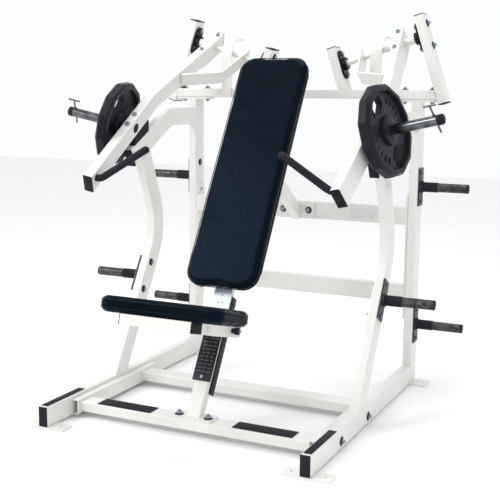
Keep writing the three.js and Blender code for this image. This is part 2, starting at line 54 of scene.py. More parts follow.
# %% [markdown]
# ## The camera
# The machine is seen from its front right corner, a little above the middle, with a long lens. A camera
# can be placed by a target or by angles. Angles keep the small roll of a hand-held shot. Black vinyl beside
# white paint needs its full contrast, so the plain display curve is used instead of the filmic one.

# %% Camera
camera_data = bpy.data.cameras.new("camera")
camera_data.lens = 68.94
camera = bpy.data.objects.new("camera", camera_data)
camera.location = (2.1545, -4.4355, 1.662)
camera.rotation_euler = [math.radians(angle) for angle in (80.448, -0.501, 25.504)]
bpy.context.scene.collection.objects.link(camera)
bpy.context.scene.camera = camera
bpy.context.scene.view_settings.view_transform = "Standard"
print("camera at", tuple(camera.location))

# %% [markdown]
# ## Working spaces
# Bolts and caps are easiest to place in the space of the tube they sit on: the leaning post, the tilted
# seat, the tilted towers, the drooping arms and the horns. Each space is one matrix, and a left-hand piece
# is the right-hand one mirrored across the middle.

# %% Spaces
MIDDLE_Y = 0.7938
LEAN = math.radians(30.5)
SEAT_TILT = math.radians(15)
TOWER_TILT = math.radians(18)
ARM_DROOP = math.radians(31.47)
ARM_KINK = math.radians(10.2)
THIN, DEEP = 0.0508, 0.1016
HORN_ALONG = 0.273
RAIL_X = 0.696
INNER_SIDE = RAIL_X - THIN / 2
OUTER_SIDE = RAIL_X + THIN / 2

row = Matrix.Translation((0, -MIDDLE_Y, 0))
post = row @ Matrix.Translation((0, 0.2499, 0.0811)) @ Matrix.Rotation(-LEAN, 4, "X")
seat = row @ Matrix.Translation((0, -0.042, 0.647)) @ Matrix.Rotation(-SEAT_TILT, 4, "X")
tower = row @ Matrix.Translation((0.583, 1.574, 1.910)) @ Matrix.Rotation(-TOWER_TILT, 4, "Y")
arm = tower @ Matrix.Rotation(ARM_DROOP, 4, "X")
arm_on = Vector((-math.sin(ARM_KINK), -math.cos(ARM_KINK), 0))
arm_out = Vector((math.cos(ARM_KINK), -math.sin(ARM_KINK), 0))
arm_knee = Vector((0, -0.624, 0))


def basis(origin, z, x):
    """A space whose Z runs along z and whose X leans towards x."""
    z = z.normalized()
    y = z.cross(x).normalized()
    turn = Matrix((y.cross(z), y, z)).transposed().to_4x4()
    return Matrix.Translation(origin) @ turn


horn = arm @ basis(arm_knee + HORN_ALONG * arm_on, arm_out, Vector((0, 0, 1)))


def sided(space, mirror):
    """The same space on the right (1), or mirrored to the left (-1)."""
    return Matrix.Diagonal((mirror, 1, 1, 1)) @ space


print("horn leaves the arm at", tuple(round(v, 3) for v in horn.translation))

# %% [markdown]
# ## Patterns shared by several finishes
# Paint, iron and rubber all have a fine surface unevenness and a slight change of tone. One node group
# makes it: a small noise for height and a broad one for tone. A group can be placed in each material with
# its own scale, which is less to keep right than the same nodes copied six times.

# %% The unevenness group
def new_group(name, inputs, outputs):
    group = bpy.data.node_groups.new(name, "ShaderNodeTree")
    for label, kind, value in inputs:
        socket = group.interface.new_socket(label, in_out="INPUT", socket_type=kind)
        socket.default_value = value
    for label, kind in outputs:
        group.interface.new_socket(label, in_out="OUTPUT", socket_type=kind)
    return group, group.nodes.new("NodeGroupInput"), group.nodes.new("NodeGroupOutput")


def uneven_group():
    inputs = (("Fine Scale", "NodeSocketFloat", 400.0), ("Strength", "NodeSocketFloat", 0.1),
              ("Tone Scale", "NodeSocketFloat", 3.0))
    outputs = (("Tone", "NodeSocketFloat"), ("Normal", "NodeSocketVector"))
    group, inward, outward = new_group("uneven surface", inputs, outputs)
    make, link = group.nodes.new, group.links.new
    place = make("ShaderNodeTexCoord")
    fine = make("ShaderNodeTexNoise")
    fine.inputs["Detail"].default_value = 3
    tone = make("ShaderNodeTexNoise")
    tone.inputs["Detail"].default_value = 4
    bump = make("ShaderNodeBump")
    bump.inputs["Distance"].default_value = 0.0006
    link(place.outputs["Object"], fine.inputs["Vector"])
    link(place.outputs["Object"], tone.inputs["Vector"])
    link(inward.outputs["Fine Scale"], fine.inputs["Scale"])
    link(inward.outputs["Tone Scale"], tone.inputs["Scale"])
    link(inward.outputs["Strength"], bump.inputs["Strength"])
    link(fine.outputs["Fac"], bump.inputs["Height"])
    link(tone.outputs["Fac"], outward.inputs["Tone"])
    link(bump.outputs["Normal"], outward.inputs["Normal"])
    return group


UNEVEN = uneven_group()
print("group sockets:", [item.name for item in UNEVEN.interface.items_tree])


# %% [markdown]
# ## Finishes
# Every finish starts the same way: two close tones mixed by the broad noise, a roughness that follows it,
# and the fine bump. What differs is the colours, the gloss, the metalness and the size of the grain.

# %% A finish with its own grain
def finish(name, dark, light, rough, metal=0.0, fine=400.0, bump=0.1, tone=3.0, coat=0.0, shine=0.5):
    material = bpy.data.materials.new(name)
    material.use_nodes = True
    tree = material.node_tree
    shader = tree.nodes["Principled BSDF"]
    surface = tree.nodes.new("ShaderNodeGroup")
    surface.node_tree = UNEVEN
    surface.inputs["Fine Scale"].default_value = fine
    surface.inputs["Strength"].default_value = bump
    surface.inputs["Tone Scale"].default_value = tone
    colours = tree.nodes.new("ShaderNodeValToRGB")
    colours.name = "colours"
    colours.color_ramp.elements[0].position = 0.3
    colours.color_ramp.elements[0].color = (*dark, 1)
    colours.color_ramp.elements[1].position = 0.7
    colours.color_ramp.elements[1].color = (*light, 1)
    gloss = tree.nodes.new("ShaderNodeMapRange")
    gloss.inputs["To Min"].default_value = rough[0]
    gloss.inputs["To Max"].default_value = rough[1]
    tree.links.new(surface.outputs["Tone"], colours.inputs["Fac"])
    tree.links.new(surface.outputs["Tone"], gloss.inputs["Value"])
    tree.links.new(colours.outputs["Color"], shader.inputs["Base Color"])
    tree.links.new(gloss.outputs["Result"], shader.inputs["Roughness"])
    tree.links.new(surface.outputs["Normal"], shader.inputs["Normal"])
    shader.inputs["Metallic"].default_value = metal
    shader.inputs["Specular IOR Level"].default_value = shine
    shader.inputs["Coat Weight"].default_value = coat
    shader.inputs["Coat Roughness"].default_value = 0.12
    return material


frame_paint = finish("frame paint", (0.70, 0.69, 0.66), (0.77, 0.76, 0.73), (0.25, 0.4),
                     bump=0.06, coat=0.3)
black_rubber = finish("black rubber", (0.007, 0.008, 0.011), (0.014, 0.016, 0.021), (0.5, 0.7),
                      bump=0.3, shine=0.15)
black_paint = finish("black paint", (0.003, 0.0035, 0.005), (0.006, 0.007, 0.010), (0.3, 0.45),
                     bump=0.15, shine=0.2)
black_iron = finish("black iron", (0.005, 0.006, 0.010), (0.010, 0.012, 0.018), (0.33, 0.5),
                    fine=250, bump=0.25, shine=0.16)
zinc = finish("zinc", (0.20, 0.23, 0.28), (0.36, 0.40, 0.46), (0.2, 0.4), metal=1.0, tone=60, bump=0.1)
chrome = finish("chrome", (0.05, 0.053, 0.058), (0.17, 0.175, 0.19), (0.12, 0.34),
                metal=1.0, tone=25, bump=0.08)
guide_marks = finish("guide marks", (0.10, 0.11, 0.13), (0.16, 0.17, 0.19), (0.4, 0.5), tone=30)
blank_label = finish("blank label", (0.62, 0.62, 0.62), (0.72, 0.72, 0.73), (0.4, 0.5), tone=50)
print(len(bpy.data.materials), "materials so far")


# %% [markdown]
# ## Vinyl
# The upholstery is a nearly black vinyl with a pebbled leather grain and soft long creases. The grain is
# a cell pattern, whose edges make the fine valleys, and the creases are a stretched noise.

# %% Vinyl finish
def vinyl_finish():
    material = finish("black vinyl", (0.0012, 0.0024, 0.0045), (0.003, 0.005, 0.009), (0.3, 0.42),
                      shine=0.1)
    tree = material.node_tree
    shader = tree.nodes["Principled BSDF"]
    # The reflections are tinted blue and dimmed: a painted blue cast on the sheen that stands for the cool
    # light.
    shader.inputs["Specular Tint"].default_value = (0.22, 0.52, 0.85, 1)
    place = tree.nodes.new("ShaderNodeTexCoord")
    pebbles = tree.nodes.new("ShaderNodeTexVoronoi")
    pebbles.feature = "DISTANCE_TO_EDGE"
    pebbles.inputs["Scale"].default_value = 260
    stretch = tree.nodes.new("ShaderNodeMapping")
    stretch.inputs["Scale"].default_value = (7, 12, 12)
    creases = tree.nodes.new("ShaderNodeTexNoise")
    creases.inputs["Scale"].default_value = 1.6
    creases.inputs["Detail"].default_value = 7
    creases.inputs["Distortion"].default_value = 0.8
    crease_bump = tree.nodes.new("ShaderNodeBump")
    crease_bump.inputs["Strength"].default_value = 0.42
    crease_bump.inputs["Distance"].default_value = 0.006
    grain_bump = tree.nodes.new("ShaderNodeBump")
    grain_bump.inputs["Strength"].default_value = 0.35
    grain_bump.inputs["Distance"].default_value = 0.0008
    link = tree.links.new
    link(place.outputs["Object"], pebbles.inputs["Vector"])
    link(place.outputs["Object"], stretch.inputs["Vector"])
    link(stretch.outputs["Vector"], creases.inputs["Vector"])
    link(creases.outputs["Fac"], crease_bump.inputs["Height"])
    link(pebbles.outputs["Distance"], grain_bump.inputs["Height"])
    link(crease_bump.outputs["Normal"], grain_bump.inputs["Normal"])
    link(grain_bump.outputs["Normal"], shader.inputs["Normal"])
    return material


black_vinyl = vinyl_finish()
print("vinyl nodes:", len(black_vinyl.node_tree.nodes))


# %% [markdown]
# ## Pieces with paint on one part
# A storage peg is one welded piece with a painted plate and a bar that iron plates have worn bare. The guide
# plate is black below and brushed silver above. The machine is symmetric, so a distance from the middle, or
# a height, says where the paint ends.

# %% Partly painted finishes
PEG_BARE_FROM = 0.825
GUIDE_BARE_FROM = 0.54


def paint_until(material, axis, end, paint):
    """Paints a finish up to a distance along an axis. Returns the socket that is 1 where it is bare."""
    tree = material.node_tree
    make, link = tree.nodes.new, tree.links.new
    place = make("ShaderNodeTexCoord")
    parts = make("ShaderNodeSeparateXYZ")
    distance = make("ShaderNodeMath")
    distance.operation = "ABSOLUTE"
    bare = make("ShaderNodeMath")
    bare.operation = "GREATER_THAN"
    bare.inputs[1].default_value = end
    mix = make("ShaderNodeMix")
    mix.data_type = "RGBA"
    mix.inputs["A"].default_value = (*paint, 1)
    link(place.outputs["Object"], parts.inputs["Vector"])
    link(parts.outputs[axis], distance.inputs[0])
    link(distance.outputs[0], bare.inputs[0])
    link(bare.outputs[0], mix.inputs["Factor"])
    link(tree.nodes["colours"].outputs["Color"], mix.inputs["B"])
    link(mix.outputs["Result"], tree.nodes["Principled BSDF"].inputs["Base Color"])
    return bare.outputs[0]


worn_peg = finish("worn peg", (0.025, 0.025, 0.027), (0.12, 0.115, 0.11), (0.3, 0.55), metal=0.9, tone=38)
bare_bar = paint_until(worn_peg, "X", PEG_BARE_FROM, (0.008, 0.009, 0.011))
worn_peg.node_tree.links.new(bare_bar, worn_peg.node_tree.nodes["Principled BSDF"].inputs["Metallic"])
guide_plate = finish("guide plate", (0.42, 0.46, 0.52), (0.62, 0.66, 0.72), (0.3, 0.5), metal=0.3, tone=30)
paint_until(guide_plate, "Z", GUIDE_BARE_FROM, (0.006, 0.007, 0.010))


# %% Put the finishes on
FINISH_OF_SLOT = {
    "frame_paint": frame_paint, "black_rubber": black_rubber, "black_paint": black_paint,
    "worn_steel": worn_peg, "chrome": chrome, "black_iron": black_iron, "black_vinyl": black_vinyl,
}
for part in frame["record"]["subparts"]:
    piece = nodes[part["node"]]
    piece.data.materials.clear()
    piece.data.materials.append(FINISH_OF_SLOT[part["material_slot"]])
nodes["instruction_plate"].data.materials[0] = guide_plate
print("finishes put on", len(nodes), "frame pieces")

# %% [markdown]
# ## Making a piece
# A new piece is drawn in a bmesh in its own space, moved to its place, and turned the right way out if the
# space is mirrored. Smooth shading with sharp edges above 25 degrees suits bolts and castings alike.

# %% Helpers for pieces
def place_piece(mesh_in_progress, name, body, material, space=None, stands_for=()):
    bm = mesh_in_progress
    if space is not None:
        bmesh.ops.transform(bm, matrix=space, verts=bm.verts)
        if space.determinant() < 0:
            bmesh.ops.reverse_faces(bm, faces=bm.faces)
    mesh = bpy.data.meshes.new(name)
    bm.to_mesh(mesh)
    bm.free()
    mesh.shade_smooth()
    mesh.set_sharp_from_angle(angle=math.radians(25))
    mesh.materials.append(material)
    piece = bpy.data.objects.new(name, mesh)
    bpy.context.scene.collection.objects.link(piece)
    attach(piece, body)
    if stands_for:
        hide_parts(*stands_for)
    return piece


def edges_at(verts):
    return {edge for vert in verts for edge in vert.link_edges}


def add_disc(bm, place, radius, low, high, segments=24, top_radius=None):
    """A round or six-sided solid between two heights of a space."""
    shape = place @ Matrix.Translation((0, 0, (low + high) / 2))
    end = radius if top_radius is None else top_radius
    made = bmesh.ops.create_cone(bm, cap_ends=True, segments=segments, radius1=radius, radius2=end,
                                 depth=high - low, matrix=shape)
    return made["verts"]


def add_block(bm, place, size, bevel=0.0015, segments=2):
    made = bmesh.ops.create_cube(bm, size=1, matrix=place @ Matrix.Diagonal((*size, 1)))
    edges = list(edges_at(made["verts"]))
    bmesh.ops.bevel(bm, geom=edges, offset=bevel, segments=segments, affect="EDGES", profile=0.5,
                    material=-1)


def facing(point, direction):
    """A space at a point whose Z runs along a direction."""
    return Matrix.Translation(point) @ Vector(direction).to_track_quat("Z", "Y").to_matrix().to_4x4()


print("helpers ready")

# %% [markdown]
# ## Bolts
# The machine is bolted together with zinc-plated hex bolts on black domed washers. A washer is a low cone,
# a head is a six-sided prism with a chamfered crown, and a short thread stands out of it.

# %% Bolt and washer
BOLT_GAP = 0.0006
WASHER_THICK = 0.004


def add_bolt(bolts, washers, point, direction, size=0.0095, washer=0.017):
    place = facing(point, direction)
    base = BOLT_GAP
    if washer:
        add_disc(washers, place, washer, base, base + WASHER_THICK, top_radius=washer * 0.62)
        base += WASHER_THICK
    flats, crown, thread = base + size * 0.62, base + size * 0.8, base + size * 1.15
    add_disc(bolts, place, size, base, flats, segments=6)
    add_disc(bolts, place, size * 0.86, flats, crown, segments=12, top_radius=size * 0.7)
    add_disc(bolts, place, size * 0.42, crown, thread, segments=12)


def bolt_set(name, body, space, places):
    bolts, washers = bmesh.new(), bmesh.new()
    for entry in places:
        add_bolt(bolts, washers, *entry)
    if len(washers.verts):
        place_piece(washers, name + "_washers", body, black_paint, space)
    else:
        washers.free()
    place_piece(bolts, name, body, zinc, space)


# %% Every bolt
PEGS = ((0.944, 0.610, LEAN), (1.5738, 0.348, 0), (1.5738, 1.132, 0))
PEG_PLATE_THICK = 0.0083
BEAM_Y, BEAM_TOP, BEAM_BOTTOM = 1.574, 1.6621, 1.6005
BEAM_BOLTS_X = (0.618, 0.773)
for side, mirror in SIDES:
    here = sided(row, mirror)
    peg_bolts = []
    for y, z, lean in PEGS:
        for step in (-0.082, 0.082):
            spot = Vector((0, y, z)) + step * Vector((0, math.sin(lean), math.cos(lean)))
            peg_bolts.append(((OUTER_SIDE + PEG_PLATE_THICK, spot.y, spot.z), (1, 0, 0), 0.010, 0))
            peg_bolts.append(((INNER_SIDE, spot.y, spot.z), (-1, 0, 0), 0.010, 0.021))
    bolt_set(side + "_peg_bolts", "base", here, peg_bolts)
    rail_bolts = [((OUTER_SIDE, y, 0.047), (1, 0, 0), 0.012, 0.024) for y in (0.386, 0.773)]
    bolt_set(side + "_rail_bolts", "base", here, rail_bolts)
    beam_bolts = [((x, BEAM_Y, BEAM_TOP), (0, 0, 1), 0.012, 0.026) for x in BEAM_BOLTS_X]
    beam_bolts += [((x, BEAM_Y, BEAM_BOTTOM), (0, 0, -1), 0.013, 0) for x in BEAM_BOLTS_X]
    bolt_set(side + "_beam_bolts", "base", here, beam_bolts)
    bearing_bolts = []
    for w in (-0.062, 0.062):
        bearing_bolts.append(((0.1092, 0, w), (-1, 0, 0), 0.013, 0))
        bearing_bolts.append(((0.1723, 0, w), (1, 0, 0), 0.012, 0.023))
        bearing_bolts.append(((-0.3419, 0, w), (1, 0, 0), 0.013, 0))
        bearing_bolts.append(((-0.405, 0, w), (-1, 0, 0), 0.012, 0.023))
    bolt_set(side + "_bearing_bolts", "base", sided(tower, mirror), bearing_bolts)
    arm_bolts = [((0, b, DEEP / 2), (0, 0, 1), 0.013, 0) for b in (0.054, -0.123)]
    for along in (0.226, 0.317):
        arm_bolts.append((arm_knee + along * arm_on + Vector((0, 0, DEEP / 2)), (0, 0, 1), 0.013, 0))
    arm_bolts += [((0, b, -DEEP / 2 - 0.0103), (0, 0, -1), 0.0105, 0) for b in (0.050, -0.123)]
    bolt_set(side + "_arm_bolts", side + "_arm", sided(arm, mirror), arm_bolts)

plate_bolts = [((x, 1.5133, 0.968), (0, -1, 0), 0.013, 0.020) for x in (-0.08, 0.08)]
plate_bolts += [((x, 0.27, 0.0906), (0, 0, 1), 0.015, 0.023) for x in (-0.08, 0.08)]
bolt_set("post_bolts", "base", row, plate_bolts)
bolt_set("plate_screws", "base", post, [((0, -0.0034, s), (0, -1, 0), 0.009, 0) for s in (0.212, 0.684)])
bolt_set("seat_pin_nut", "seat_pin", seat, [((0.1012, 0.630, -0.0257), (1, 0, 0), 0.010, 0)])

# %% [markdown]
# ## Tube caps and rubber
# Open tube ends are closed with black plastic plugs whose rim stands a few millimetres proud. Each is a
# bevelled block. The saddle plates under the arms and the blank labels are thinner blocks of the same kind.

# %% Caps
def cap(name, body, space, places, material=None, bevel=0.003):
    bm = bmesh.new()
    for place, size in places:
        add_block(bm, place, size, bevel)
    place_piece(bm, name, body, material or black_rubber, space)


SHOULDER_SLOPE = math.atan2(0.215, 0.409)
GUIDE_FACE = -0.0036
lift = Matrix.Translation
for side, mirror in SIDES:
    arm_end = basis(arm_knee + 0.776 * arm_on, arm_on, Vector((0, 0, 1)))
    ends = [(arm_end, (DEEP, THIN, 0.0052)), (lift((0, 0.0840, 0)), (THIN, 0.0052, DEEP))]
    cap(side + "_arm_caps", side + "_arm", sided(arm, mirror), ends)
    towers = [(lift((0.1469, 0, w)), (THIN, DEEP, 0.005)) for w in (0.1150, -0.3810)]
    towers.append((lift((-0.3796, 0, 0.1054)), (THIN, DEEP, 0.005)))
    cap(side + "_tower_caps", "base", sided(tower, mirror), towers)
    shoulder = lift((RAIL_X, 0.816, 1.284)) @ Matrix.Rotation(SHOULDER_SLOPE, 4, "X") @ lift((0, -0.0031, 0))
    cap(side + "_shoulder_cap", "base", sided(row, mirror), [(shoulder, (THIN, 0.005, DEEP))])
    wear = [(lift((0.6985, 0.1725, 0.1128)), (0.039, 0.313, 0.003))]
    cap(side + "_rail_pad", "base", sided(row, mirror), wear, bevel=0.0012)
    saddle = [(lift((0, -0.0375, -0.0561)), (0.046, 0.225, 0.009))]
    cap(side + "_saddle", side + "_arm", sided(arm, mirror), saddle, frame_paint, 0.002)

side_caps = [(lift((x, 0.007, -0.0257)), (0.005, DEEP, THIN)) for x in (-0.1858, 0.1858)]
cap("seat_frame_caps", "seat_carriage", seat, side_caps)
cap("post_cap", "base", post, [(lift((0, THIN / 2, 1.7658)), (0.0762, THIN, 0.005))])
bar_label = [(lift((0.41, 1.5226, 0.966)), (0.14, 0.0006, 0.055))]
cap("blank_bar_label", "base", row, bar_label, blank_label, 0.0002)
# The guide plate's holes are black squares on its face: painted shade where the holes are.
hole_places = ((-0.012, 0.6), (0.012, 0.6), (0, 0.64))
holes = [(lift((x, GUIDE_FACE, z)), (0.006, 0.0012, 0.006)) for x, z in hole_places]
cap("guide_plate_hole_shade", "base", post, holes, black_paint, 0.0004)
marks = []
for line in range(14):
    for column in range(3):
        middle = (-0.028 + 0.028 * column + 0.004 * (line % 2), GUIDE_FACE, 0.24 + 0.019 * line)
        marks.append((lift(middle), (0.019, 0.0008, 0.0028)))
cap("guide_plate_marks", "base", post, marks, guide_marks, 0.0003)
rack_cheeks = [(lift((x, 0.0585, 0.3945)), (0.003, 0.055, 0.509)) for x in (-0.0399, 0.0399)]
teeth = [(lift((0.0424, 0.0585, 0.157 + 0.027 * k)), (0.002, 0.050, 0.013)) for k in range(18)]
cap("rack_cheeks", "base", post, rack_cheeks + teeth, black_paint, 0.0006)
print("caps done")

# %% [markdown]
# ## Horn ends, plugs and grips
# A horn ends in a domed black plug. It is a disc with its outer edge bevelled round. A grip is a rubber
# sleeve on a bent bar: a ring of points is swept along the bar, and its inner end closes in a dome.

# %% Horn caps and arm plugs
def rounded_disc(bm, place, radius, low, high, bevel, segments=32):
    verts = add_disc(bm, place, radius, low, high, segments)
    top = [e for e in edges_at(verts)
           if all((place.inverted() @ v.co).z > high - 1e-5 for v in e.verts)]
    bmesh.ops.bevel(bm, geom=top, offset=bevel, segments=4, affect="EDGES", profile=0.5,
                    material=-1)


for side, mirror in SIDES:
    bm = bmesh.new()
    rounded_disc(bm, Matrix.Identity(4), 0.0258, 0.350, 0.380, 0.008)
    place_piece(bm, side + "_horn_cap", side + "_arm", black_rubber, sided(horn, mirror))
    bm = bmesh.new()
    rounded_disc(bm, facing((0, 0, -THIN / 2 - 0.0003), (0, 0, -1)), 0.026, 0, 0.004, 0.002)
    place_piece(bm, side + "_arm_plug", side + "_arm", black_rubber, sided(horn, mirror))
    bm = bmesh.new()
    for y, z, _ in PEGS:
        rounded_disc(bm, facing((0.9880, y, z), (1, 0, 0)), 0.0252, 0, 0.006, 0.003)
        add_disc(bm, facing((0.7400, y, z), (1, 0, 0)), 0.0275, 0, 0.085, 32)
    place_piece(bm, side + "_peg_sleeves", "base", black_rubber, sided(row, mirror))
print("plugs done")


# %% Grips
def sweep_ring(bm, points, radii, segments=24):
    """Closed skin through circles that follow a line of points."""
    rings = []
    for index, (point, radius) in enumerate(zip(points, radii)):
        ahead = points[min(index + 1, len(points) - 1)]
        behind = points[max(index - 1, 0)]
        place = Matrix.Translation(point) @ (ahead - behind).to_track_quat("Z", "Y").to_matrix().to_4x4()
        made = bmesh.ops.create_circle(bm, segments=segments, radius=radius, matrix=place)
        ring = edges_at(made["verts"])
        if rings:
            bmesh.ops.bridge_loops(bm, edges=list(rings[-1] | ring))
        rings.append(ring)
    for ring in (rings[0], rings[-1]):
        bmesh.ops.holes_fill(bm, edges=list(ring))
    bmesh.ops.recalc_face_normals(bm, faces=bm.faces)


def arm_point(along, out, up):
    return arm_knee + along * arm_on + out * arm_out + Vector((0, 0, up))


GRIP_RADIUS, GROOVE_RADIUS = 0.0185, 0.0181
GRIP_NECK = arm_point(0.731, -0.0259, 0.014)
GRIP_KNEE = arm_point(0.731, -0.0494, 0.014)
GRIP_END = Vector((-0.3875, -1.188, 0.209))
grip_line = (GRIP_END - GRIP_KNEE).normalized()
grip_points = [GRIP_NECK]
for step in range(9):
    t = step / 8
    start, stop = GRIP_KNEE.lerp(GRIP_NECK, 0.85), GRIP_KNEE + 0.03 * grip_line
    grip_points.append(start.lerp(GRIP_KNEE, t).lerp(GRIP_KNEE.lerp(stop, t), t))
length = (GRIP_END - grip_points[-1]).length
grip_points += [grip_points[-1] + grip_line * (length * k / 40) for k in range(1, 38)]
grip_radii = [GRIP_RADIUS] * len(grip_points)
for index in range(14, len(grip_points), 2):
    grip_radii[index] = GROOVE_RADIUS
dome_start = grip_points[-1]
for angle in (30, 50, 65, 78, 87):
    turn = math.radians(angle)
    grip_points.append(dome_start + grip_line * (GRIP_RADIUS * math.sin(turn)))
    grip_radii.append(GRIP_RADIUS * math.cos(turn))
for side, mirror in SIDES:
    bm = bmesh.new()
    sweep_ring(bm, grip_points, grip_radii)
    place_piece(bm, side + "_rubber_grip", side + "_arm", black_rubber, sided(arm, mirror),
                [side + "_grip"])
print("grips with", len(grip_points), "rings")


# %% [markdown]
# ## Weight plates
# A cast plate has twelve flats, a broad chamfered rim, a sunk face, a raised hub and two six-sided grip
# openings with thick lips. Rim, hub and lips are outline rings bridged at different heights, the way a
# founder's pattern is turned in steps. A boolean could cut the face, but filling between loops is cleaner.

# %% Plate casting
HUB_REACH = 0.116
RIM_LOW, RIM_HIGH = 0.050, 0.110
WEB_LOW, WEB_HIGH = 0.067, 0.091
OPENING_AT = 0.144


def ring_edges(bm, radius, z, sides, turn=0.0):
    place = Matrix.Translation((0, 0, z)) @ Matrix.Rotation(turn, 4, "Z")
    made = bmesh.ops.create_circle(bm, segments=sides, radius=radius, matrix=place)
    return edges_at(made["verts"])


def opening_edges(bm, radius, z, centre_x):
    """One six-sided opening: a hexagon with its points along Y, narrowed across."""
    place = Matrix.Translation((centre_x, 0, z)) @ Matrix.Diagonal((0.77, 1, 1, 1))
    shape = place @ Matrix.Rotation(math.pi / 2, 4, "Z")
    made = bmesh.ops.create_circle(bm, segments=6, radius=radius, matrix=shape)
    return edges_at(made["verts"])


def bridged(bm, rings):
    for first, second in zip(rings, rings[1:]):
        bmesh.ops.bridge_loops(bm, edges=list(first | second))


def cast_plate():
    """The rim, the hub, the lips round the openings and raised bars between them."""
    bm = bmesh.new()
    turn = math.pi / 12
    rim = [(0.190, 0.088), (0.196, RIM_HIGH), (0.213, RIM_HIGH), (0.217, 0.1085), (0.230, 0.094),
           (0.230, 0.058), (0.222, RIM_LOW), (0.196, RIM_LOW), (0.190, 0.070)]
    loops = [ring_edges(bm, radius, z, 12, turn) for radius, z in rim]
    bridged(bm, loops + loops[:1])
    hub = [(0.0259, RIM_LOW), (0.0259, HUB_REACH), (0.037, HUB_REACH), (0.040, HUB_REACH - 0.005),
           (0.062, HUB_REACH - 0.006), (0.070, HUB_REACH - 0.010), (0.076, 0.088), (0.076, 0.070),
           (0.068, RIM_LOW)]
    loops = [ring_edges(bm, radius, z, 48) for radius, z in hub]
    bridged(bm, loops + loops[:1])
    for centre_x in (-OPENING_AT, OPENING_AT):
        for face, out in ((WEB_HIGH, 0.005), (WEB_LOW, -0.005)):
            lip = ((0.0605, face - out), (0.0605, face + out), (0.065, face + out), (0.069, face - out))
            loops = [opening_edges(bm, radius, z, centre_x) for radius, z in lip]
            bridged(bm, loops + loops[:1])
    for first in (0, math.pi):
        for k in range(7):
            angle = first + math.radians(48 + 14 * k)
            spot = Matrix.Rotation(angle, 4, "Z") @ Matrix.Translation((0.150, 0, WEB_HIGH + 0.0015))
            add_block(bm, spot, (0.034, 0.007, 0.006), 0.0018)
    bmesh.ops.recalc_face_normals(bm, faces=bm.faces)
    return bm


def cast_web():
    """The sunk face: a flat sheet with three holes, filled between its loops and then thickened."""
    bm = bmesh.new()
    edges = ring_edges(bm, 0.194, WEB_LOW, 12, math.pi / 12)
    open_loops = [ring_edges(bm, 0.070, WEB_LOW, 48)]
    for centre_x in (-OPENING_AT, OPENING_AT):
        open_loops.append(opening_edges(bm, 0.060, WEB_LOW, centre_x))
    holes = [{vert for edge in loop for vert in edge.verts} for loop in open_loops]
    edges = edges.union(*open_loops)
    bmesh.ops.triangle_fill(bm, use_beauty=True, use_dissolve=False, edges=list(edges), normal=(0, 0, 1))
    inside = [face for face in bm.faces if any(hole.issuperset(face.verts) for hole in holes)]
    bmesh.ops.delete(bm, geom=inside, context="FACES_ONLY")
    print("sheet faces", len(bm.faces), "removed from the openings", len(inside))
    sheet = bmesh.ops.extrude_face_region(bm, geom=list(bm.faces))
    raised = [item for item in sheet["geom"] if isinstance(item, bmesh.types.BMVert)]
    bmesh.ops.translate(bm, vec=(0, 0, WEB_HIGH - WEB_LOW), verts=raised)
    bmesh.ops.recalc_face_normals(bm, faces=bm.faces)
    return bm


for side, mirror in SIDES:
    here = sided(horn, mirror)
    body = side + "_plate"
    casting = place_piece(cast_plate(), body + "_casting", body, black_iron, here,
                          [side + "_weight_plate"])
    web = place_piece(cast_web(), body + "_face", body, black_iron, here)
    print(side, "plate:", len(casting.data.polygons), "and", len(web.data.polygons), "faces")

# %% [markdown]
# ## Foot pads
# The pads on the front crossbar are moulded rubber with a raised anti-slip pattern. Rows of small flat
# bars on a thin base give the same grip and catch the light the same way.

# %% Foot pads
for side, mirror in SIDES:
    bm = bmesh.new()
    add_block(bm, Matrix.Translation((0.38, 0.275, 0.0827)), (0.31, 0.086, 0.0028), 0.0006)
    for column in range(15):
        for line in range(4):
            spot = Matrix.Translation((0.247 + 0.019 * column, 0.247 + 0.0187 * line, 0.0846))
            turned = spot @ Matrix.Rotation(math.radians(45 if (column + line) % 2 else -45), 4, "Z")
            add_block(bm, turned, (0.013, 0.003, 0.0014), 0.0004, 1)
    place_piece(bm, side + "_foot_pad", "base", black_rubber, sided(row, mirror),
                [side + "_foot_grip_pad"])
print("foot pads done")

# %% [markdown]
# ## Upholstery
# A pad is foam on a board, wrapped in vinyl that is pulled tight and stapled behind. A plain bevelled block
# looks like plastic. Blowing the skin up a little as cloth rounds the faces and pulls the corners in, as
# stretched vinyl does. The swelling is capped so that the pad keeps the size of its board.

# %% Inflate a pad
HELD_BY_BOARD = 0.15
SKIN_GRAIN, MOST_SWELL = 0.008, 0.007
SETTLING_FRAMES = 20


def slab_mesh(size, radius, edge, space):
    """A block with rounded corners in plan and rounded rims, centred on its space."""
    bm = bmesh.new()
    bmesh.ops.create_cube(bm, size=1, matrix=Matrix.Diagonal((*size, 1)))
    upright = [e for e in bm.edges if abs(e.verts[0].co.z - e.verts[1].co.z) > 1e-6]
    bmesh.ops.bevel(bm, geom=upright, offset=radius, segments=12, affect="EDGES", profile=0.5, material=-1)
    rims = [e for e in bm.edges if abs(e.verts[0].co.z - e.verts[1].co.z) < 1e-6 and len(e.link_faces) == 2
            and abs(e.link_faces[0].normal.z - e.link_faces[1].normal.z) > 0.5]
    bmesh.ops.bevel(bm, geom=rims, offset=edge, segments=4, affect="EDGES", profile=0.5, material=-1)
    bmesh.ops.transform(bm, matrix=space, verts=bm.verts)
    return bm


